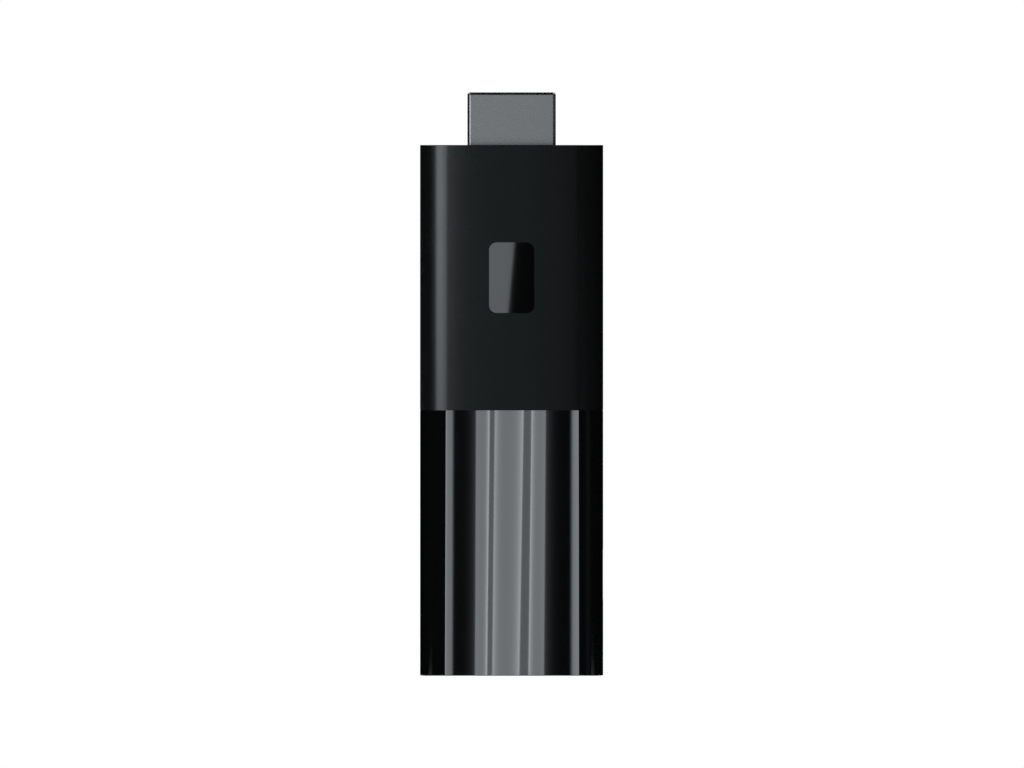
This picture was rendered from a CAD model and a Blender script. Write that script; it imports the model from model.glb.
"""Finishes, studio and camera of a streaming stick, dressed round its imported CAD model."""

import logging
import math
from collections.abc import Iterable
from dataclasses import dataclass, field, replace
from enum import Enum
from typing import ClassVar

import bpy
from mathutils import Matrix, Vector


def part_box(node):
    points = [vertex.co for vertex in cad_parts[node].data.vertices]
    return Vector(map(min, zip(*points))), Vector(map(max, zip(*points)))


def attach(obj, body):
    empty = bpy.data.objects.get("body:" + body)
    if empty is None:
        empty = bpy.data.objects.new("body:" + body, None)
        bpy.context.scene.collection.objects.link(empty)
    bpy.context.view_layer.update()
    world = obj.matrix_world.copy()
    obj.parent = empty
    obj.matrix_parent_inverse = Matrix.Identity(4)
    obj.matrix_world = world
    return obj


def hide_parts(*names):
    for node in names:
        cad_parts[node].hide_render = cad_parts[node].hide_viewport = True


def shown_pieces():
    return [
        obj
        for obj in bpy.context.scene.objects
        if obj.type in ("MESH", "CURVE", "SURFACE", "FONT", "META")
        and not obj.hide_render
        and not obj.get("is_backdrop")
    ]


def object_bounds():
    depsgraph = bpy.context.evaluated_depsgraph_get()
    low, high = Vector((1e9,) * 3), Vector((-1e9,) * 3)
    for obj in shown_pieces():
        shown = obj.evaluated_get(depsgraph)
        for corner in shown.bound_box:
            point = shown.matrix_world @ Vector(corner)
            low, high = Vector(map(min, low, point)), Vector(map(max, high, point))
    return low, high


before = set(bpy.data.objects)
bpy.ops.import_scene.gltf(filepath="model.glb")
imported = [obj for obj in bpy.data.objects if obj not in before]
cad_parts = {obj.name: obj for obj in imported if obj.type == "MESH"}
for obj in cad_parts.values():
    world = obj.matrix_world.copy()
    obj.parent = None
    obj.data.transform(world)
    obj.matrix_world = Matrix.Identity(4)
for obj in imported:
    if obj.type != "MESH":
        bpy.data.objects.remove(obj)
CAD_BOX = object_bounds()

LOG = logging.getLogger("stick")
MM = 0.001
MICRON = 0.000001

Colour = tuple[float, float, float]
Triple = tuple[float, float, float]
Span = tuple[float, float]

WHITE = (1.0, 1.0, 1.0)
BLACK = (0.0, 0.0, 0.0)

# Octaves of a noise.
PLAIN = 1.0
USUAL = 2.0
RICH = 3.0


class Axis(Enum):
    """A coordinate of a point."""

    X = "X"
    Y = "Y"
    Z = "Z"


class Measure(Enum):
    """Where the distance in a pattern of cells is measured from."""

    CENTRE = "F1"
    EDGE = "DISTANCE_TO_EDGE"


class Wire:
    """An output socket of a shader tree. Arithmetic on it adds Math nodes to the tree."""

    def __init__(self, tree: "ShaderTree", socket: bpy.types.NodeSocket | None) -> None:
        """Holds a shader tree and an output socket in it."""
        self.tree = tree
        self.socket = socket

    def _math(self, operation: str, *values: "Wire | float") -> "Wire":
        """The result of a Math node on the values, in order."""
        inputs = dict(enumerate(values))
        return self.tree.add("ShaderNodeMath", {"operation": operation}, inputs)

    def __add__(self, other: "Wire | float") -> "Wire":
        """self + other."""
        return self._math("ADD", self, other)

    def __radd__(self, other: float) -> "Wire":
        """other + self."""
        return self._math("ADD", other, self)

    def __sub__(self, other: "Wire | float") -> "Wire":
        """self - other."""
        return self._math("SUBTRACT", self, other)

    def __rsub__(self, other: float) -> "Wire":
        """other - self."""
        return self._math("SUBTRACT", other, self)

    def __mul__(self, other: "Wire | float") -> "Wire":
        """self * other."""
        return self._math("MULTIPLY", self, other)

    def __rmul__(self, other: float) -> "Wire":
        """other * self."""
        return self._math("MULTIPLY", other, self)

    def __truediv__(self, other: "Wire | float") -> "Wire":
        """self / other."""
        return self._math("DIVIDE", self, other)

    def __rtruediv__(self, other: float) -> "Wire":
        """other / self."""
        return self._math("DIVIDE", other, self)

    def __abs__(self) -> "Wire":
        """abs(self)."""
        return self._math("ABSOLUTE", self)

    def exp(self) -> "Wire":
        """e to the power of self."""
        return self._math("EXPONENT", self)

    def part(self) -> "Wire":
        """The part of self after the decimal point."""
        return self._math("FRACT", self)

    def least(self, other: "Wire | float") -> "Wire":
        """The lesser of self and other."""
        return self._math("MINIMUM", self, other)

    def swing(self, reach: float) -> "Wire":
        """How far self lies from 0.5, times a reach."""
        return (self - 0.5) * reach

    def mixed(self, share: float, other: "Wire") -> "Wire":
        """A share of self, and of other what is left of 1."""
        return self * share + other * (1 - share)

    def rise(self, low: float, high: float) -> "Wire":
        """Eases from 0 to 1.

        Args:
            low: Where the result is 0.
            high: Where the result is 1; it may lie below low.

        Returns:
            The eased value.
        """
        settings = {"interpolation_type": "SMOOTHSTEP"}
        inputs = {"Value": self, "From Min": min(low, high), "From Max": max(low, high)}
        if low > high:
            inputs.update({"To Min": 1.0, "To Max": 0.0})
        return self.tree.add("ShaderNodeMapRange", settings, inputs)

    def blend(self, first: "Wire | Colour", second: "Wire | Colour") -> "Wire":
        """Mixes two colours by self.

        Args:
            first: The colour at 0.
            second: The colour at 1.

        Returns:
            The mixed colour.
        """
        settings = {"data_type": "RGBA", "clamp_factor": True}
        inputs = {0: self, 6: first, 7: second}
        return self.tree.add("ShaderNodeMix", settings, inputs, 2)


class ShaderTree:
    """The node tree of a material, a lamp or the world, empty at first."""

    def __init__(self, owner: bpy.types.ID) -> None:
        """Empties the owner's tree.

        Args:
            owner: The material, lamp or world.
        """
        owner.use_nodes = True
        self.tree = owner.node_tree
        self.tree.nodes.clear()

    def add(
        self,
        kind: str,
        settings: dict[str, object] | None = None,
        inputs: dict[str | int, object] | None = None,
        output: str | int = 0,
    ) -> Wire:
        """Adds one node.

        Args:
            kind: The node's type.
            settings: Its settings.
            inputs: The values or wires of its sockets, by name or index.
            output: The output wanted, by name or index.

        Returns:
            The wanted output.
        """
        node = self.tree.nodes.new(kind)
        for name, value in (settings or {}).items():
            setattr(node, name, value)
        for name, value in (inputs or {}).items():
            self._feed(node.inputs[name], value)
        return Wire(self, node.outputs[output] if node.outputs else None)

    def _feed(self, socket: bpy.types.NodeSocket, value: object) -> None:
        """Links a wire to a socket, or sets its value.

        Args:
            socket: The input socket.
            value: A wire, a number, or three numbers.
        """
        if isinstance(value, Wire):
            self.tree.links.new(value.socket, socket)
        elif socket.type == "RGBA":
            socket.default_value = (*value, 1.0)
        else:
            socket.default_value = value

    def place(self) -> Wire:
        """The point on the piece, in metres in the row frame."""
        return self.add("ShaderNodeTexCoord", output="Object")

    def along(self, axis: Axis, point: Wire) -> Wire:
        """One coordinate of a point."""
        return self.add("ShaderNodeSeparateXYZ", inputs={0: point}, output=axis.value)

    def stretched(self, scale: Triple) -> Wire:
        """The point on the piece with its coordinates scaled."""
        settings = {"operation": "MULTIPLY"}
        return self.add("ShaderNodeVectorMath", settings, {0: self.place(), 1: scale})

    def noise(self, size: float, octaves: float = USUAL, stretch: Triple = (1, 1, 1)) -> Wire:
        """Soft noise about 0.5.

        Args:
            size: The size of its features, in metres.
            octaves: How many sizes of feature it adds up.
            stretch: How much longer the features are along each axis.

        Returns:
            The noise.
        """
        scale = tuple(1 / (size * along) for along in stretch)
        inputs = {"Vector": self.stretched(scale), "Scale": 1.0, "Detail": octaves}
        return self.add("ShaderNodeTexNoise", inputs=inputs)

    def cells(self, size: float, measure: Measure = Measure.CENTRE) -> Wire:
        """The distance in a pattern of cells, whose size is in metres, as a share of that size."""
        inputs = {"Vector": self.place(), "Scale": 1 / size}
        return self.add("ShaderNodeTexVoronoi", {"feature": measure.value}, inputs, "Distance")

    def bump(self, height: Wire, depth: float) -> Wire:
        """A normal that follows a height, of which 1 stands for the depth in metres."""
        return self.add("ShaderNodeBump", inputs={"Height": height, "Distance": depth})

    def surface(self, inputs: dict[str, object]) -> None:
        """Ends a material in a Principled shader with these values or wires."""
        shader = self.add("ShaderNodeBsdfPrincipled", inputs=inputs)
        self.add("ShaderNodeOutputMaterial", inputs={"Surface": shader})


@dataclass(frozen=True)
class Finish:
    """A finish of one of the record's material slots."""

    name: str
    colour: Colour
    roughness: float

    def material(self) -> bpy.types.Material:
        """Paints the Blender material of the slot.

        Returns:
            The material, which is named as its slot is.
        """
        materials = bpy.data.materials
        material = materials.get(self.name) or materials.new(self.name)
        self.paint(ShaderTree(material))
        material.diffuse_color = (*self.colour, 1.0)
        return material

    def paint(self, tree: ShaderTree) -> None:
        """Fills the material's empty tree."""
        raise NotImplementedError

    def tinted(self, share: Wire, tone: float) -> Wire:
        """The finish's colour, lighter and darker by a pattern.

        Args:
            share: The pattern, from 0 to 1.
            tone: How far the colour goes each way, as a share of it.

        Returns:
            The colour.
        """
        dark = tuple(value * (1 - tone) for value in self.colour)
        light = tuple(min(1.0, value * (1 + tone)) for value in self.colour)
        return share.blend(dark, light)


@dataclass(frozen=True)
class GrainedPlastic(Finish):
    """Moulded plastic with the fine grain of a spark-eroded mould.

    Its pits and specks are sized in grains.
    """

    grain: float = 0.09 * MM
    pit: float = 1.7
    speck: float = 2.5
    cloud: float = 6 * MM
    depth: float = 2.0 * MICRON
    grain_share: float = 0.7
    cloud_share: float = 0.6
    tone: float = 0.3
    unevenness: float = 0.03

    def paint(self, tree: ShaderTree) -> None:
        """Grain in the bump, cloudy tone, and roughness that handling has evened out in places.

        Args:
            tree: The material's empty tree.
        """
        cloud = tree.noise(self.cloud, RICH)
        grain = tree.noise(self.grain, RICH)
        pits = tree.cells(self.grain * self.pit)
        specks = tree.noise(self.grain * self.speck, PLAIN)
        tree.surface(
            {
                "Base Color": self.tinted(cloud.mixed(self.cloud_share, specks), self.tone),
                "Roughness": self.roughness + cloud.swing(self.unevenness),
                "Normal": tree.bump(grain.mixed(self.grain_share, pits), self.depth),
            }
        )


@dataclass(frozen=True)
class PolishedPlastic(Finish):
    """Plastic from a mirror-polished mould, with faint upright wipe marks."""

    swirl: float = 9 * MM
    wipe: float = 0.5 * MM
    wipe_along: Triple = (1, 1, 14)
    wipe_edge: Span = (0.45, 0.8)
    wave: float = 1.6 * MM
    depth: float = 0.12 * MICRON
    tone: float = 0.2
    wiped: float = 0.01
    swirled: float = 0.008

    def paint(self, tree: ShaderTree) -> None:
        """A hardly uneven skin, a faint swirl of tone, and wipe marks in the roughness.

        Args:
            tree: The material's empty tree.
        """
        swirl = tree.noise(self.swirl)
        wipe = tree.noise(self.wipe, USUAL, self.wipe_along).rise(*self.wipe_edge)
        skin = tree.noise(self.wave, PLAIN)
        tree.surface(
            {
                "Base Color": self.tinted(swirl, self.tone),
                "Roughness": self.roughness + wipe * self.wiped + swirl * self.swirled,
                "Normal": tree.bump(skin, self.depth),
            }
        )


@dataclass(frozen=True)
class SheetMetal(Finish):
    """Plated or plain sheet metal, with rolling lines and a slight tarnish."""

    line: float = 0.03 * MM
    line_along: Triple = (20, 20, 1)
    depth: float = 0.4 * MICRON
    tone: float = 0.06
    unevenness: float = 0.08
    tarnish: Colour = (0.35, 0.33, 0.3)
    tarnished: float = 0.15
    patch: float = 1.8 * MM
    patch_edge: Span = (0.45, 0.75)
    patch_roughness: float = 0.3

    def paint(self, tree: ShaderTree) -> None:
        """Rolling lines in the bump and roughness, tarnish in patches of the colour.

        Args:
            tree: The material's empty tree.
        """
        lines = tree.noise(self.line, USUAL, self.line_along)
        patch = tree.noise(self.patch, RICH).rise(*self.patch_edge) * self.tarnished
        clean = self.tinted(lines, self.tone)
        rough = self.roughness + lines.swing(self.unevenness) + patch * self.patch_roughness
        tree.surface(
            {
                "Base Color": patch.blend(clean, self.tarnish),
                "Metallic": 1.0,
                "Roughness": rough,
                "Normal": tree.bump(lines, self.depth),
            }
        )


@dataclass(frozen=True)
class Laminate(Finish):
    """Circuit board laminate with its weave and tracks under solder mask."""

    track: Colour = (0.02, 0.09, 0.03)
    track_apart: float = 1.1 * MM
    track_edge: Span = (0.12, 0.08)
    track_cover: float = 0.8
    track_height: float = 2.0
    weave: float = 0.45 * MM
    depth: float = 4 * MICRON
    cloud: float = 3 * MM
    tone: float = 0.2
    clouded: float = 0.08

    def threads(self, tree: ShaderTree, axis: Axis) -> Wire:
        """The height of the glass threads that repeat along an axis."""
        return abs((tree.along(axis, tree.place()) / self.weave).part() - 0.5)

    def paint(self, tree: ShaderTree) -> None:
        """Glass weave in the bump, tracks as lighter lines, and mask of uneven thickness.

        Args:
            tree: The material's empty tree.
        """
        cloud = tree.noise(self.cloud)
        tracks = tree.cells(self.track_apart, Measure.EDGE).rise(*self.track_edge)
        weave = self.threads(tree, Axis.X) + self.threads(tree, Axis.Z)
        mask = self.tinted(cloud, self.tone)
        tree.surface(
            {
                "Base Color": (tracks * self.track_cover).blend(mask, self.track),
                "Roughness": self.roughness + cloud * self.clouded,
                "Normal": tree.bump(weave + tracks * self.track_height, self.depth),
            }
        )


@dataclass(frozen=True)
class Cellular(Finish):
    """Foam, felt or filled rubber with open cells."""

    cell: float = 0.12 * MM
    depth: float = 20 * MICRON
    cloud: float = 1.5 * MM
    cloud_height: float = 0.5
    cell_share: float = 0.6
    tone: float = 0.25
    smoothing: float = 0.1

    def paint(self, tree: ShaderTree) -> None:
        """Cells in the bump and colour, and a cloudy tone.

        Args:
            tree: The material's empty tree.
        """
        cells = tree.cells(self.cell)
        cloud = tree.noise(self.cloud, RICH)
        tree.surface(
            {
                "Base Color": self.tinted(cells.mixed(self.cell_share, cloud), self.tone),
                "Roughness": self.roughness - cells * self.smoothing,
                "Normal": tree.bump(cells + cloud * self.cloud_height, self.depth),
            }
        )


@dataclass(frozen=True)
class Sintered(Finish):
    """Fired ceramic or filled resin, fine grained and a little mottled."""

    grain: float = 0.05 * MM
    depth: float = 1.5 * MICRON
    mottle: float = 0.7 * MM
    mottle_share: float = 0.7
    tone: float = 0.25
    unevenness: float = 0.15

    def paint(self, tree: ShaderTree) -> None:
        """Grain in the bump, mottling in the colour and the roughness.

        Args:
            tree: The material's empty tree.
        """
        grain = tree.noise(self.grain)
        mottle = tree.noise(self.mottle, RICH)
        tree.surface(
            {
                "Base Color": self.tinted(mottle.mixed(self.mottle_share, grain), self.tone),
                "Roughness": self.roughness + mottle.swing(self.unevenness),
                "Normal": tree.bump(grain, self.depth),
            }
        )


FINISHES: tuple[Finish, ...] = (
    GrainedPlastic("matte_case", (0.0019, 0.0021, 0.0022), 0.27),
    PolishedPlastic("gloss_case", (0.0012, 0.0013, 0.0014), 0.035),
    PolishedPlastic("badge_gloss", (0.0014, 0.0015, 0.0016), 0.05),
    Cellular("adhesive_film", (0.75, 0.74, 0.70), 0.6, cell=0.08 * MM, depth=3 * MICRON),
    GrainedPlastic("frame_plastic", (0.012, 0.012, 0.013), 0.5),
    SheetMetal("screw_steel", (0.28, 0.28, 0.29), 0.32),
    Laminate("board_laminate", (0.006, 0.045, 0.018), 0.35),
    SheetMetal(
        "plug_steel",
        (0.57, 0.57, 0.57),
        0.26,
        depth=0.18 * MICRON,
        tarnish=(0.5, 0.5, 0.5),
        tarnished=0.06,
    ),
    SheetMetal("port_steel", (0.60, 0.60, 0.60), 0.24),
    GrainedPlastic("insulator_black", (0.010, 0.010, 0.010), 0.42, grain=0.05 * MM),
    SheetMetal("contact_gold", (0.83, 0.58, 0.26), 0.22, tarnish=(0.62, 0.55, 0.42)),
    Cellular("gasket_foam", (0.22, 0.22, 0.23), 0.55, cell=0.1 * MM),
    SheetMetal("shield_tin", (0.66, 0.66, 0.65), 0.34, line=0.06 * MM),
    Sintered("chip_resin", (0.014, 0.014, 0.015), 0.5),
    Cellular("thermal_silicone", (0.36, 0.44, 0.50), 0.55, cell=0.05 * MM, depth=4 * MICRON),
    SheetMetal("spreader_alloy", (0.72, 0.73, 0.74), 0.38, line=0.08 * MM),
    Laminate("radio_laminate", (0.006, 0.030, 0.060), 0.35, track=(0.02, 0.07, 0.12)),
    SheetMetal("antenna_alloy", (0.78, 0.62, 0.36), 0.3),
    Sintered("ferrite_grey", (0.055, 0.055, 0.058), 0.6),
    Sintered("capacitor_yellow", (0.62, 0.40, 0.08), 0.45),
    Sintered("capacitor_tan", (0.36, 0.25, 0.15), 0.45),
    Sintered("resistor_black", (0.020, 0.020, 0.022), 0.4),
    SheetMetal("crystal_can", (0.68, 0.67, 0.64), 0.28),
)


@dataclass(frozen=True)
class CaseSection:
    """The section of the case: front, rear, side and corner arcs that meet smoothly."""

    half_width: float = 14.4 * MM
    half_depth: float = 7.25 * MM
    front_radius: float = 48.0 * MM
    side_radius: float = 16.0 * MM
    corner_radius: float = 5.5 * MM

    def arcs(self) -> tuple[Vector, Vector, Vector]:
        """Finds the arcs' centres for the quarter where both coordinates are positive.

        Returns:
            The centres of the broad arc, the side arc and the corner arc.
        """
        broad = Vector((0, self.half_depth - self.front_radius))
        side = Vector((self.half_width - self.side_radius, 0))
        to_broad = self.front_radius - self.corner_radius
        to_side = self.side_radius - self.corner_radius
        apart = side - broad
        along = (to_broad**2 - to_side**2 + apart.length_squared) / (2 * apart.length)
        across = math.sqrt(to_broad**2 - along**2)
        unit = apart.normalized()
        return broad, side, broad + along * unit + across * Vector((unit.y, -unit.x))

    def at(self, turn: float, inset: float = 0.0) -> tuple[float, float]:
        """Finds the point whose normal has a given direction.

        Args:
            turn: The direction, in radians from the rear towards the right.
            inset: How far inside the outline the point lies.

        Returns:
            The point across and through the case.
        """
        broad, side, corner = self.arcs()
        normal = Vector((abs(math.sin(turn)), abs(math.cos(turn))))
        to_broad, to_side = corner - broad, corner - side
        if normal.x * to_broad.y <= normal.y * to_broad.x:
            point = broad + normal * (self.front_radius - inset)
        elif normal.y * to_side.x <= normal.x * to_side.y:
            point = side + normal * (self.side_radius - inset)
        else:
            point = corner + normal * (self.corner_radius - inset)
        return math.copysign(point.x, math.sin(turn)), math.copysign(point.y, math.cos(turn))

    def facing(self, x: float, y: float) -> tuple[Vector, float]:
        """Looks up the outline near a point.

        Args:
            x: The point across the case.
            y: The point through the case.

        Returns:
            The outward normal there, and how far the point lies outside the outline.
        """
        broad, side, corner = self.arcs()
        point = Vector((abs(x), abs(y)))
        to_broad, broad_end = point - broad, corner - broad
        to_side, side_end = point - side, corner - side
        if to_broad.x * broad_end.y <= to_broad.y * broad_end.x:
            centre, radius = broad, self.front_radius
        elif to_side.y * side_end.x <= to_side.x * side_end.y:
            centre, radius = side, self.side_radius
        else:
            centre, radius = corner, self.corner_radius
        out = point - centre
        normal = Vector((math.copysign(out.x, x), math.copysign(out.y, y), 0)).normalized()
        return normal, out.length - radius


@dataclass
class Assembly:
    """A sub-assembly of the stick, which gives each of its nodes a finish."""

    title: ClassVar[str] = "assembly"
    finishes: ClassVar[dict[str, str]] = {}

    def build(self, materials: dict[str, bpy.types.Material]) -> None:
        """Dresses the nodes, with the finishes' materials by name."""
        for node, finish in self.finishes.items():
            self.dress(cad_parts[node], materials[finish])

    def dress(self, piece: bpy.types.Object, material: bpy.types.Material) -> None:
        """Gives one piece its finish and slot.

        Args:
            piece: The piece.
            material: The finish, which is named as its slot is.
        """
        piece.data.materials.clear()
        piece.data.materials.append(material)
        LOG.info("%s: %s in %s", self.title, piece.name, material.name)


@dataclass
class Case(Assembly):
    """The two sleeves with the bead that seals their seam, their caps and the blank badge."""

    section: CaseSection = CaseSection()
    skin_play: float = 2 * MICRON
    seam_gap: float = 0.05 * MM
    bead_inset: float = 0.06 * MM
    bead_width: float = 0.6 * MM
    bead_steps: int = 360

    title: ClassVar[str] = "case"
    finishes: ClassVar[dict[str, str]] = {
        "upper_sleeve": "matte_case",
        "lower_sleeve": "gloss_case",
        "plug_cap": "matte_case",
        "tail_cap": "gloss_case",
        "badge_plate": "badge_gloss",
        "badge_adhesive": "adhesive_film",
    }

    def build(self, materials: dict[str, bpy.types.Material]) -> None:
        """Dresses the nodes, and makes the sleeves anew with the true curve in their shading.

        Args:
            materials: The finishes' materials by name.
        """
        super().build(materials)
        self.skin("matte_sleeve", "upper_sleeve", materials)
        self.skin("polished_sleeve", "lower_sleeve", materials)
        self.bead(materials)

    def bead(self, materials: dict[str, bpy.types.Material]) -> None:
        """Lays the bead of black sealant that closes the seam, so no light shows through it.

        Args:
            materials: The finishes' materials by name.
        """
        count = self.bead_steps
        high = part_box("upper_sleeve")[0][2]
        low = high - self.seam_gap
        rings = ((0.0, low), (0.0, high), (self.bead_width, high), (self.bead_width, low))
        points = [
            (*self.section.at(2 * math.pi * (step + 0.5) / count, self.bead_inset + inset), height)
            for inset, height in rings
            for step in range(count)
        ]
        faces = []
        for ring in range(len(rings)):
            here, there = ring * count, (ring + 1) % len(rings) * count
            for step in range(count):
                after = (step + 1) % count
                faces.append((here + step, here + after, there + after, there + step))
        mesh = bpy.data.meshes.new("seam_bead")
        mesh.from_pydata(points, [], faces)
        piece = bpy.data.objects.new("seam_bead", mesh)
        bpy.context.scene.collection.objects.link(piece)
        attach(piece, "root")
        self.dress(piece, materials["matte_case"])

    def skin(self, name: str, node: str, materials: dict[str, bpy.types.Material]) -> None:
        """Makes a sleeve whose outer wall shades as the arcs do, so that reflections run true.

        Args:
            name: The new piece's name.
            node: The node that it stands for.
            materials: The finishes' materials by name.
        """
        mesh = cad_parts[node].data.copy()
        mesh.name = name
        normals = [Vector(corner.vector) for corner in mesh.corner_normals]
        for polygon in mesh.polygons:
            places = [mesh.vertices[i].co for i in polygon.vertices]
            facings = [self.section.facing(place.x, place.y) for place in places]
            if all(abs(gap) < self.skin_play for _, gap in facings):
                for corner, (normal, _) in zip(polygon.loop_indices, facings):
                    normals[corner] = normal
        mesh.normals_split_custom_set(normals)
        piece = bpy.data.objects.new(name, mesh)
        bpy.context.scene.collection.objects.link(piece)
        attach(piece, "root")
        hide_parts(node)
        self.dress(piece, materials[self.finishes[node]])


@dataclass
class Tray(Assembly):
    """The inner frame and the screws that hold the board in it."""

    title: ClassVar[str] = "tray"
    finishes: ClassVar[dict[str, str]] = {
        "inner_frame": "frame_plastic",
        "frame_screws": "screw_steel",
    }


@dataclass
class Plug(Assembly):
    """The video plug: its formed shell, the tongue, the contacts and the foam gasket."""

    title: ClassVar[str] = "plug"
    finishes: ClassVar[dict[str, str]] = {
        "plug_shell": "plug_steel",
        "plug_insulator": "insulator_black",
        "plug_contacts_front": "contact_gold",
        "plug_contacts_rear": "contact_gold",
        "plug_gasket": "gasket_foam",
    }


@dataclass
class Port(Assembly):
    """The power port in the polished half's right side."""

    title: ClassVar[str] = "port"
    finishes: ClassVar[dict[str, str]] = {
        "port_shell": "port_steel",
        "port_insulator": "insulator_black",
        "port_contacts": "contact_gold",
    }


@dataclass
class Board(Assembly):
    """The circuit board with its chips and small parts."""

    title: ClassVar[str] = "board"
    finishes: ClassVar[dict[str, str]] = {
        "circuit_board": "board_laminate",
        "processor": "chip_resin",
        "memory_chips": "chip_resin",
        "storage_chip": "chip_resin",
        "power_manager": "chip_resin",
        "voltage_converters": "chip_resin",
        "surge_arrays": "chip_resin",
        "main_crystal": "crystal_can",
        "power_inductors": "ferrite_grey",
        "signal_filters": "ferrite_grey",
        "bulk_capacitors": "capacitor_yellow",
        "ceramic_capacitors": "capacitor_tan",
        "input_fuse": "capacitor_tan",
        "chip_resistors": "resistor_black",
    }


@dataclass
class Shielding(Assembly):
    """The shields, the heat spreader and the pads that carry the heat to it."""

    title: ClassVar[str] = "shielding"
    finishes: ClassVar[dict[str, str]] = {
        "front_shield_frame": "shield_tin",
        "front_shield_lid": "shield_tin",
        "rear_shield_frame": "shield_tin",
        "rear_shield_lid": "shield_tin",
        "processor_thermal_pad": "thermal_silicone",
        "memory_thermal_pads": "thermal_silicone",
        "storage_thermal_pad": "thermal_silicone",
        "front_gap_pad": "thermal_silicone",
        "rear_gap_pad": "thermal_silicone",
        "front_heat_spreader": "spreader_alloy",
    }


@dataclass
class Radio(Assembly):
    """The radio module and its antennas."""

    title: ClassVar[str] = "radio"
    finishes: ClassVar[dict[str, str]] = {
        "radio_module_board": "radio_laminate",
        "radio_module_can": "shield_tin",
        "main_antenna": "antenna_alloy",
        "side_antenna": "antenna_alloy",
    }


# How far the lamps stand from the stick, and the tints of their light.
CIRCLE = 360 * MM
BEYOND = 800 * MM
DAYLIGHT = (0.925, 1.0, 1.06)
SKYLIGHT = (0.71, 1.0, 1.03)


class Group(Enum):
    """What a lamp lights: the case's finishes, the plug's steel and the rest have their own."""

    MATTE = ("matte_case",)
    GLOSS = ("gloss_case",)
    BADGE = ("badge_gloss",)
    PLUG = ("plug_steel",)
    INNER = ()


@dataclass(frozen=True)
class Lamp:
    """A lamp that stands upright beside the stick and faces it.

    Its azimuth is in degrees, from the front towards the right. It stands on the lamps' circle,
    or low beyond it, where only a view from above or from the back finds it mirrored.
    """

    name: str
    group: Group
    azimuth: float
    bottom: float
    top: float
    distance: float = field(default=CIRCLE, kw_only=True)
    tint: Colour = field(default=DAYLIGHT, kw_only=True)


@dataclass(frozen=True)
class Panel(Lamp):
    """A plain soft panel. Its spread is the angle that it fills, in degrees."""

    spread: float
    radiance: float


@dataclass(frozen=True)
class Edge:
    """An upright edge of a bright pane.

    It is given at the window's sill, as it would measure on the lamps' circle, and leans by its
    lean, in metres sideways for each metre up.
    A glint brightens the pane along the edge, and a glow spreads out to both sides of it.
    """

    across: float
    lean: float = 0.0
    soft: float = 1 * MM
    glint: float = 0.0
    glint_reach: float = 5 * MM
    glow: float = 0.0
    glow_reach: float = 10 * MM

    def inward(self, across: Wire, rise: Wire, side: int) -> Wire:
        """The distance from the edge into the pane, which lies to the side's sign of it."""
        return (across - (rise * self.lean + self.across)) * side

    def add_light(self, inward: Wire) -> tuple[Wire | float, Wire | float]:
        """Works out the light that the edge adds.

        Args:
            inward: The distance from the edge into the pane.

        Returns:
            The glint, which only the pane shows, and the glow, which spreads beyond it.
        """
        away = abs(inward)
        glint = (away * (-1 / self.glint_reach)).exp() * self.glint if self.glint else 0.0
        glow = (away * (-1 / self.glow_reach)).exp() * self.glow if self.glow else 0.0
        return glint, glow


@dataclass(frozen=True)
class Pane:
    """A bright pane of a window, between two upright edges."""

    left: Edge
    right: Edge
    radiance: float

    def light(self, across: Wire, rise: Wire) -> Wire:
        """Works out the pane's light.

        Args:
            across: The place across the window, in metres.
            rise: The height above the sill, in metres.

        Returns:
            The radiance that the pane adds there.
        """
        inside, bright, glow = 1.0, self.radiance, 0.0
        for edge, side in ((self.left, 1), (self.right, -1)):
            inward = edge.inward(across, rise, side)
            more_glint, more_glow = edge.add_light(inward)
            inside = inward.rise(-edge.soft, edge.soft) * inside
            bright = more_glint + bright
            glow = more_glow + glow
        return inside * bright + glow


@dataclass(frozen=True)
class Window(Lamp):
    """A flat lamp with bright panes, seen as stripes in the polished plastic.

    Its width is given as it would measure on the lamps' circle.
    """

    sill: float
    panes: tuple[Pane, ...]
    width: float = 700 * MM


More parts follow.
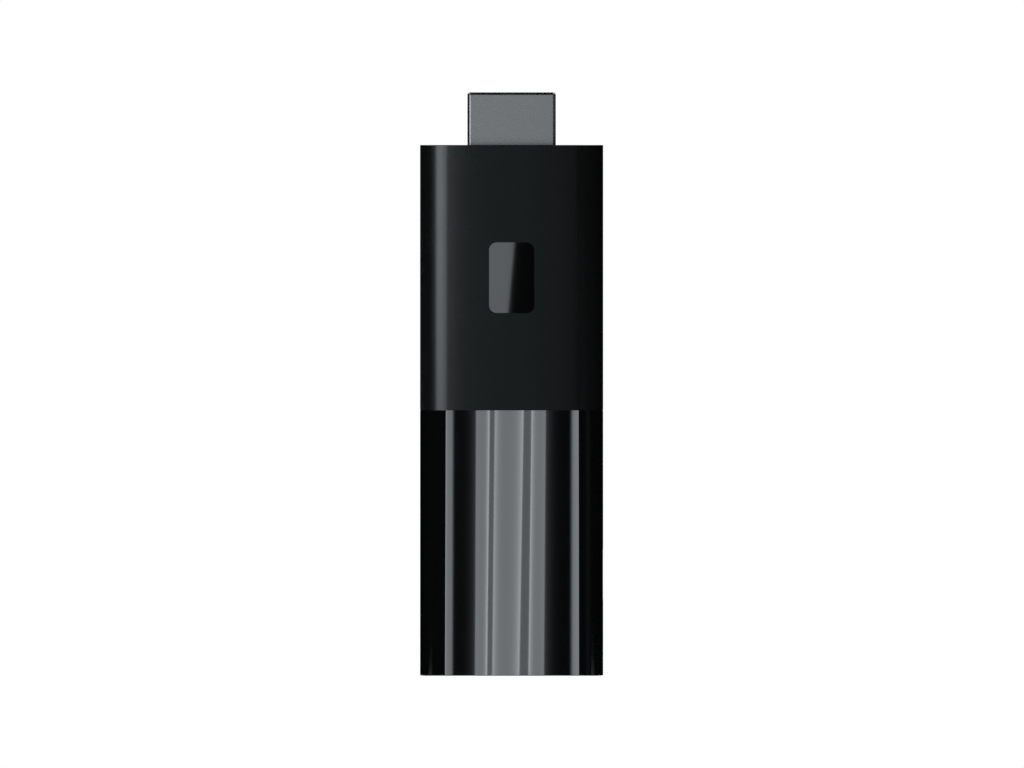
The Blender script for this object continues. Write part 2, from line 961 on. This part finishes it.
@dataclass
class Studio:
    """The floor, the flags, the lamps and the camera.

    Angles are in degrees. The fill and the key are the levels at which each lights a white face.
    """

    frame_width: float = 161.1 * MM
    middle_height: float = CAD_BOX[1][2] / 2
    shift_right: float = 0.06 * MM
    camera_distance: float = 0.6
    camera_reach: float = 20.0
    floor_half: float = 4.0
    floor_cloud: float = 60 * MM
    floor_greys: Span = (0.885, 0.9)
    flag_distance: float = 1100 * MM
    flag_height: float = 950 * MM
    flag_sides: int = 64
    roof_radius: float = 550 * MM
    pit_radius: float = 200 * MM
    card_spread: float = 70.0
    fill: float = 0.55
    key: float = 0.64
    key_softness: float = 50.0
    key_tilts: Span = (25.0, -20.0)
    ceiling_half: float = 150 * MM
    ceiling_radiance: float = 1.5
    receivers: dict[Group, bpy.types.Collection] = field(default_factory=dict)

    def build(self, panels: Iterable[Panel], windows: Iterable[Window]) -> None:
        """Sets up everything.

        Args:
            panels: The plain panels.
            windows: The windows.
        """
        self.gather()
        self.world()
        self.floor()
        self.flags()
        self.sun()
        for panel in panels:
            self.stand_panel(panel)
        for window in windows:
            self.stand_window(window)
        self.hang_lamp()
        self.camera()

    def gather(self) -> None:
        """Sorts the shown pieces into the collections that the lamps light."""
        named = {finish for group in Group for finish in group.value}
        for group in Group:
            collection = bpy.data.collections.new("lit_" + group.name.lower())
            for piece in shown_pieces():
                finish = piece.active_material.name
                if finish in group.value or (group is Group.INNER and finish not in named):
                    collection.objects.link(piece)
            self.receivers[group] = collection

    def stand(self, lamp: Lamp, width: float) -> bpy.types.Object:
        """Stands an area lamp beside the stick.

        Args:
            lamp: The lamp.
            width: Its real width.

        Returns:
            The lamp, with a radiance of 1.
        """
        data = bpy.data.lights.new(lamp.name, "AREA")
        data.shape = "RECTANGLE"
        data.size, data.size_y = width, lamp.top - lamp.bottom
        data.color = lamp.tint
        data.energy = data.size * data.size_y * math.pi
        turn = math.radians(lamp.azimuth)
        stood = bpy.data.objects.new(lamp.name, data)
        across, through = math.sin(turn) * lamp.distance, -math.cos(turn) * lamp.distance
        stood.location = (across, through, (lamp.top + lamp.bottom) / 2)
        stood.rotation_euler = (math.radians(90), 0, turn)
        stood.visible_camera = False
        stood.light_linking.receiver_collection = self.receivers[lamp.group]
        bpy.context.scene.collection.objects.link(stood)
        return stood

    def stand_panel(self, panel: Panel) -> None:
        """Stands a plain panel."""
        width = 2 * panel.distance * math.tan(math.radians(panel.spread / 2))
        self.stand(panel, width).data.energy *= panel.radiance

    def stand_window(self, window: Window) -> None:
        """Stands a window.

        Args:
            window: The window.
        """
        stood = self.stand(window, window.width * window.distance / CIRCLE)
        tree = ShaderTree(stood.data)
        spot = tree.add("ShaderNodeNewGeometry", output="Parametric")
        across = tree.along(Axis.X, spot).swing(window.width)
        rise = tree.along(Axis.Y, spot) * (window.top - window.bottom) + (window.bottom - window.sill)
        total = 0.0
        for pane in window.panes:
            total = pane.light(across, rise) + total
        light = tree.add("ShaderNodeEmission", inputs={"Color": total, "Strength": 1.0})
        tree.add("ShaderNodeOutputLight", inputs={"Surface": light})

    def hang_lamp(self) -> None:
        """Hangs a soft lamp overhead that shows the contacts in the plug's mouth."""
        half = self.ceiling_half
        lamp = self.stand(Lamp("inner_top", Group.INNER, 0, -half, half), 2 * half)
        lamp.location = (0, 0, CIRCLE)
        lamp.rotation_euler = (0, 0, 0)
        lamp.data.energy *= self.ceiling_radiance

    def world(self) -> None:
        """Makes the room: white where it is seen or mirrored, and a soft fill otherwise."""
        world = bpy.data.worlds.new("white_room")
        bpy.context.scene.world = world
        tree = ShaderTree(world)
        seen, mirrored, through = (
            tree.add("ShaderNodeLightPath", output=f"Is {ray} Ray")
            for ray in ("Camera", "Glossy", "Transmission")
        )
        white = (seen + mirrored + through).least(1.0)
        strength = white * (1 - self.fill) + self.fill
        inputs = {"Color": WHITE, "Strength": strength}
        back = tree.add("ShaderNodeBackground", inputs=inputs)
        tree.add("ShaderNodeOutputWorld", inputs={"Surface": back})

    def prop(
        self,
        name: str,
        points: list[Triple],
        faces: list[tuple[int, ...]],
        colour: Wire | Colour,
        tree: ShaderTree,
    ) -> bpy.types.Object:
        """Makes a dull stage piece, which isn't part of the stick.

        Args:
            name: Its name.
            points: Its corners.
            faces: Its faces.
            colour: Its colour.
            tree: The tree of its material.

        Returns:
            The piece.
        """
        mesh = bpy.data.meshes.new(name)
        mesh.from_pydata(points, [], faces)
        mesh.materials.append(bpy.data.materials[name])
        tree.surface({"Base Color": colour, "Roughness": 1.0, "Specular IOR Level": 0.0})
        piece = bpy.data.objects.new(name, mesh)
        bpy.context.scene.collection.objects.link(piece)
        piece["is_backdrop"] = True
        return piece

    def floor(self) -> None:
        """Lays the pale floor at the stick's foot. Mirrored rays pass through it to the low lamps."""
        half = self.floor_half
        points = [(-half, -half, 0), (half, -half, 0), (half, half, 0), (-half, half, 0)]
        tree = ShaderTree(bpy.data.materials.new("floor"))
        dark, light = ((grey, grey, grey) for grey in self.floor_greys)
        colour = tree.noise(self.floor_cloud).blend(dark, light)
        floor = self.prop("floor", points, [(0, 1, 2, 3)], colour, tree)
        floor.visible_glossy = False
        floor.visible_shadow = False

    def flags(self) -> None:
        """Stands black flags round the lamps, overhead, over the camera and deep underneath.

        Only mirrored rays meet them. They leave gaps to the white room, above and below.
        """
        count = self.flag_sides
        turns = [2 * math.pi * step / count - math.pi / 2 for step in range(count)]
        rims = (
            (self.flag_distance, -self.flag_height),
            (self.flag_distance, self.flag_height),
            (self.roof_radius, self.flag_height),
            (self.pit_radius, -self.flag_height),
        )
        points = [
            (radius * math.cos(turn), radius * math.sin(turn), height)
            for radius, height in rims
            for turn in turns
        ]
        bottom, top, roof, pit = (
            tuple(range(rim * count, (rim + 1) * count)) for rim in range(len(rims))
        )
        faces = [roof, pit]
        for step in range(count):
            after = (step + 1) % count
            faces.append((bottom[step], bottom[after], top[after], top[step]))
            if min(step, count - step) * 360 / count < self.card_spread / 2:
                faces.append((top[step], top[after], roof[after], roof[step]))
        tree = ShaderTree(bpy.data.materials.new("flags"))
        flags = self.prop("flags", points, faces, BLACK, tree)
        flags.visible_camera = False
        flags.visible_diffuse = False
        flags.visible_shadow = False
        flags.visible_transmission = False

    def sun(self) -> None:
        """Hangs the broad key light that draws the soft shadow on the floor."""
        data = bpy.data.lights.new("key", "SUN")
        data.energy = self.key * math.pi
        data.angle = math.radians(self.key_softness)
        key = bpy.data.objects.new("key", data)
        key.rotation_euler = (*map(math.radians, self.key_tilts), 0)
        key.visible_glossy = False
        bpy.context.scene.collection.objects.link(key)

    def camera(self) -> None:
        """Places the camera square to the front, without perspective."""
        data = bpy.data.cameras.new("camera")
        data.type = "ORTHO"
        data.ortho_scale = self.frame_width
        data.clip_end = self.camera_reach
        camera = bpy.data.objects.new("camera", data)
        camera.location = (self.shift_right, -self.camera_distance, self.middle_height)
        camera.rotation_euler = (math.radians(90), 0, 0)
        bpy.context.scene.collection.objects.link(camera)
        bpy.context.scene.camera = camera
        bpy.context.scene.view_settings.view_transform = "Standard"


# The lamps' bottoms and tops. Level views meet the high and level lamps in the case's walls, views
# from 3 degrees above the low ones, from 15 degrees the shallow ones and from 25 the steep ones.
# The steep and shallow lamps of the matte half stand on the circle, and the polished half's beyond.
HIGH = (30 * MM, 160 * MM)
LEVEL = (-40 * MM, 160 * MM)
FRONT = (-40 * MM, 120 * MM)
SHALLOW = (-276 * MM, -164 * MM)
SHALLOW_MATTE = (-75 * MM, -20 * MM)
STEEP = (-476 * MM, -318 * MM)
STEEP_MATTE = (-150 * MM, -66 * MM)
UNDER = (-140 * MM, 30 * MM)
WIDE = (-190 * MM, 100 * MM)
LOW = (-44 * MM, -0.3 * MM)
LOW_MATTE = (-120 * MM, 10 * MM)

# Each panel's name, group, azimuth, bottom and top, spread and radiance.
PANELS = (
    Panel("matte_left_far", Group.MATTE, -75, *HIGH, 18, 0.18, tint=SKYLIGHT),
    Panel("matte_left", Group.MATTE, -54, *HIGH, 24, 4.3),
    Panel("matte_left_near", Group.MATTE, -35, *HIGH, 14, 3.2),
    Panel("matte_front", Group.MATTE, -3, *LEVEL, 34, 0.255, tint=SKYLIGHT),
    Panel("matte_front_right", Group.MATTE, 20, *LEVEL, 12, 0.17),
    Panel("matte_back", Group.MATTE, 180, *LOW_MATTE, 48, 0.5, distance=BEYOND),
    Panel("matte_low_right", Group.MATTE, 90, *LOW_MATTE, 20, 0.1, distance=BEYOND),
    Panel("matte_low_left", Group.MATTE, -90, *LOW_MATTE, 20, 0.1, distance=BEYOND),
    Panel("matte_steep_left", Group.MATTE, -45, *STEEP_MATTE, 50, 0.28),
    Panel("matte_steep_edge", Group.MATTE, 52, *STEEP_MATTE, 18, 6.5),
    Panel("matte_steep_back", Group.MATTE, 135, *STEEP_MATTE, 30, 0.2),
    Panel("matte_shallow_back", Group.MATTE, 135, *SHALLOW_MATTE, 50, 0.28),
    Panel("matte_shallow_edge", Group.MATTE, -135, *SHALLOW_MATTE, 18, 6.5),
    Panel("matte_shallow_side", Group.MATTE, -45, *SHALLOW_MATTE, 30, 0.2),
    Panel("gloss_steep_right", Group.GLOSS, 135, *STEEP, 6, 2.5, distance=BEYOND),
    Panel("gloss_shallow_left", Group.GLOSS, -45, *SHALLOW, 6, 2.5, distance=BEYOND),
    Panel("gloss_right", Group.GLOSS, 70, *LEVEL, 16, 0.05),
    Panel("inner_right", Group.INNER, 90, *WIDE, 60, 0.8),
    Panel("inner_right_back", Group.INNER, 135, *WIDE, 40, 0.8),
    Panel("inner_front", Group.INNER, 0, *WIDE, 60, 0.6),
    Panel("badge_steep_left", Group.BADGE, -50, *STEEP_MATTE, 9, 2.6),
    Panel("badge_steep_right", Group.BADGE, 40, *STEEP_MATTE, 9, 2.6),
    Panel("steel_front", Group.PLUG, 4, *LEVEL, 30, 0.293),
    Panel("steel_back", Group.PLUG, 180, *LEVEL, 40, 0.3),
    Panel("steel_under_side_right", Group.PLUG, 90, *UNDER, 16, 0.8),
    Panel("steel_under_side_left", Group.PLUG, -90, *UNDER, 16, 0.8),
    Panel("steel_left", Group.PLUG, -24, *HIGH, 24, 1.5),
    Panel("steel_right", Group.PLUG, 90, *HIGH, 14, 0.12),
    Panel("steel_under_left", Group.PLUG, -45, *UNDER, 50, 0.4),
    Panel("steel_under_right", Group.PLUG, 45, *UNDER, 30, 0.5),
    Panel("steel_under_back_right", Group.PLUG, 135, *UNDER, 50, 0.3),
    Panel("steel_under_back_left", Group.PLUG, -135, *UNDER, 30, 0.5),
)

# The front window: a wide box with a glow round it and three brighter panes in it, and a strip
# far out on each side. The windows for the views from above have the same panes.
BOX_LEFT = Edge(-89.8 * MM, 0.07)
BOX_RIGHT = Edge(85.8 * MM, 0.115)
BRIGHTER = 1.47
PANES = (
    Pane(
        replace(BOX_LEFT, glow=0.78, glow_reach=10 * MM),
        replace(BOX_RIGHT, glow=0.86, glow_reach=11 * MM),
        2.23,
    ),
    Pane(BOX_LEFT, Edge(-55.4 * MM, 0.158, glint=9.5, glint_reach=3.2 * MM), BRIGHTER),
    Pane(
        Edge(-42.0 * MM, 0.16, glint=5.2, glint_reach=6.6 * MM),
        Edge(29.0 * MM, 0.258, glint=5.6, glint_reach=8.7 * MM),
        BRIGHTER,
    ),
    Pane(Edge(49.1 * MM, 0.188, glint=7.5, glint_reach=4.3 * MM), BOX_RIGHT, BRIGHTER),
    Pane(
        Edge(-224.0 * MM, 0.62, glint=4.0, glint_reach=24 * MM),
        Edge(-153.6 * MM, 0.052, soft=5.2 * MM, glow=0.05, glow_reach=20 * MM),
        3.56,
    ),
    Pane(
        Edge(158.5 * MM, 0.016, soft=7.2 * MM),
        Edge(262.5 * MM, -0.293, soft=3.4 * MM, glint=1.4, glint_reach=155 * MM),
        3.78,
    ),
)
SIDE_PANES = (Pane(Edge(-46 * MM, soft=6 * MM), Edge(46 * MM, soft=6 * MM), 0.9),)
BACK_PANES = (
    Pane(Edge(-52 * MM), Edge(48 * MM), 1.5),
    Pane(Edge(-52 * MM), Edge(-24 * MM), 1.2),
    Pane(Edge(-14 * MM), Edge(48 * MM), 1.2),
)
BADGE_PANES = (Pane(Edge(-60 * MM), Edge(-0.6 * MM, 1.4), 2.6),)

# The heights at which the edges of the panes are given.
BADGE_SILL = 62.6 * MM
LEVEL_SILL = 38.6 * MM
STEEP_SILL = -352 * MM
SHALLOW_SILL = -193 * MM
LOW_SILL = -3.3 * MM

# Each window's name, group, azimuth, bottom and top, sill and panes.
WINDOWS = (
    Window("badge_window", Group.BADGE, 0, *LEVEL, BADGE_SILL, BADGE_PANES),
    Window("front_window", Group.GLOSS, 0, *FRONT, LEVEL_SILL, PANES),
    Window("steep_left_window", Group.GLOSS, -45, *STEEP, STEEP_SILL, PANES, distance=BEYOND),
    Window("steep_right_window", Group.GLOSS, 45, *STEEP, STEEP_SILL, PANES, distance=BEYOND),
    Window("shallow_right_window", Group.GLOSS, 135, *SHALLOW, SHALLOW_SILL, PANES, distance=BEYOND),
    Window("shallow_left_window", Group.GLOSS, -135, *SHALLOW, SHALLOW_SILL, PANES, distance=BEYOND),
    Window("back_window", Group.GLOSS, 180, *LOW, LOW_SILL, BACK_PANES, distance=BEYOND),
    Window("right_window", Group.GLOSS, 90, *LOW, LOW_SILL, SIDE_PANES, distance=BEYOND),
    Window("left_window", Group.GLOSS, -90, *LOW, LOW_SILL, SIDE_PANES, distance=BEYOND),
)


def main() -> None:
    """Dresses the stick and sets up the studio."""
    logging.basicConfig(level=logging.INFO, format="%(message)s")
    materials = {finish.name: finish.material() for finish in FINISHES}
    for assembly in (Case(), Tray(), Plug(), Port(), Board(), Shielding(), Radio()):
        assembly.build(materials)
    Studio().build(PANELS, WINDOWS)


if __name__ == "__main__":
    main()
